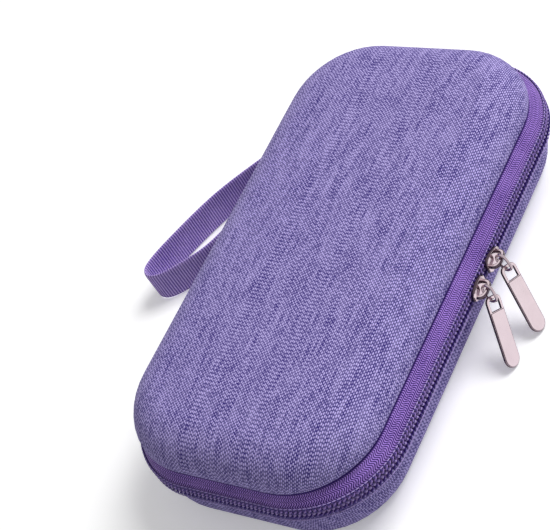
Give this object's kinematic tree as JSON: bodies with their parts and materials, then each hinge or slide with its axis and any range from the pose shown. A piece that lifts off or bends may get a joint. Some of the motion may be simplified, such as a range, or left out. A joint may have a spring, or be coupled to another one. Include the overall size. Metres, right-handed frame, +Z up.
{
  "type": "insulin cooling case",
  "caption": "Soft clamshell cooling case for insulin pens and vials, with a double-slider zip, folding spine, gel ice packs, mesh pockets, elastic bands and a wrist strap.",
  "frame": {"origin": "middle of the flat underside of the base, where the case rests", "axes": "+X along the case towards the pocket mouths, -Y to the zip sliders, +Y to the folding spine, +Z up through the lid"},
  "size_m": [0.2034, 0.1719, 0.0471],
  "materials": {
    "heather_fabric": "heathered purple woven cover on EVA foam",
    "foil_lining": "silver foil laminate with a fine embossed weave",
    "zip_tape": "purple ribbed zip tape",
    "zip_coil": "dark purple nylon coil",
    "grosgrain": "purple ribbed grosgrain webbing",
    "rose_silver": "polished plating with a slight rose tint",
    "grey_mesh": "light grey knitted mesh",
    "grey_elastic": "grey ribbed elastic",
    "gel_pack": "blue film pouch filled with gel"
  },
  "bodies": {
    "base": {"base_shell": "heather_fabric", "base_foil_lining": "foil_lining", "base_ice_pocket_panel": "foil_lining", "base_elastic_band_upper": "grey_elastic", "base_elastic_band_lower": "grey_elastic", "base_zip_tape": "zip_tape", "base_zip_coil": "zip_coil", "base_edge_binding": "grosgrain", "zip_end_stop_near": "rose_silver", "zip_end_stop_far": "rose_silver", "strap_anchor_tab": "grosgrain", "strap_sewn_end": "grosgrain"},
    "spine": {"spine_outer_fabric": "heather_fabric", "spine_foil_lining": "foil_lining"},
    "lid": {"lid_shell": "heather_fabric", "lid_foil_lining": "foil_lining", "lid_ice_pocket_panel": "foil_lining", "lid_mesh_pocket_upper": "grey_mesh", "lid_mesh_pocket_lower": "grey_mesh", "lid_pocket_elastic_upper": "grey_elastic", "lid_pocket_elastic_lower": "grey_elastic", "lid_zip_tape": "zip_tape", "lid_zip_coil": "zip_coil", "lid_edge_binding": "grosgrain"},
    "slider_a": {"zip_slider_a": "rose_silver"},
    "slider_b": {"zip_slider_b": "rose_silver"},
    "link_a": {"pull_link_a": "rose_silver"},
    "link_b": {"pull_link_b": "rose_silver"},
    "tab_a": {"pull_tab_a": "rose_silver"},
    "tab_b": {"pull_tab_b": "rose_silver"},
    "base_pack": {"base_ice_pack": "gel_pack"},
    "lid_pack": {"lid_ice_pack": "gel_pack"},
    "strap": {"wrist_strap": "grosgrain"}
  },
  "joints": [
    {"name": "spine_fold", "type": "hinge", "parent": "base", "child": "spine", "pos_m": [0, 0.0516, 0.0163], "axis": [-1, 0, 0], "range_deg": [0, 90], "deforming": ["wrist_strap"]},
    {"name": "lid_fold", "type": "hinge", "parent": "spine", "child": "lid", "pos_m": [0, 0.0516, 0.0317], "axis": [-1, 0, 0], "range_deg": [0, 90]},
    {"name": "slider_a_slide", "type": "slide", "parent": "base", "child": "slider_a", "axis": [1, 0, 0], "range_m": [-0.054, 0]},
    {"name": "slider_b_slide", "type": "slide", "parent": "base", "child": "slider_b", "axis": [1, 0, 0], "range_m": [0, 0.044]},
    {"name": "link_a_swing", "type": "hinge", "parent": "slider_a", "child": "link_a", "pos_m": [-0.001, -0.0607, 0.024], "axis": [-1, 0, 0], "range_deg": [-17, 137]},
    {"name": "link_b_swing", "type": "hinge", "parent": "slider_b", "child": "link_b", "pos_m": [0.0125, -0.0607, 0.024], "axis": [-1, 0, 0], "range_deg": [-25, 128]},
    {"name": "tab_a_flap", "type": "hinge", "parent": "link_a", "child": "tab_a", "pos_m": [-0.00194, -0.0618, 0.02114], "axis": [0.829, -0.2004, -0.5221], "range_deg": [-45, 45]},
    {"name": "tab_b_flap", "type": "hinge", "parent": "link_b", "child": "tab_b", "pos_m": [0.01175, -0.06223, 0.02129], "axis": [0.891, -0.2236, -0.3951], "range_deg": [-45, 45]},
    {"name": "base_pack_slide", "type": "slide", "parent": "base", "child": "base_pack", "axis": [1, 0, 0], "range_m": [0, 0.016]},
    {"name": "lid_pack_slide", "type": "slide", "parent": "lid", "child": "lid_pack", "axis": [1, 0, 0], "range_m": [0, 0.016]},
    {"name": "strap_swing", "type": "hinge", "parent": "base", "child": "strap", "pos_m": [0.0772, 0.0536, 0.008], "axis": [0, 0, -1], "range_deg": [0, 150], "deforming": ["wrist_strap"]}
  ],
  "couplings": [
    {"joint": "lid_fold", "follows": "spine_fold", "ratio": 1}
  ]
}
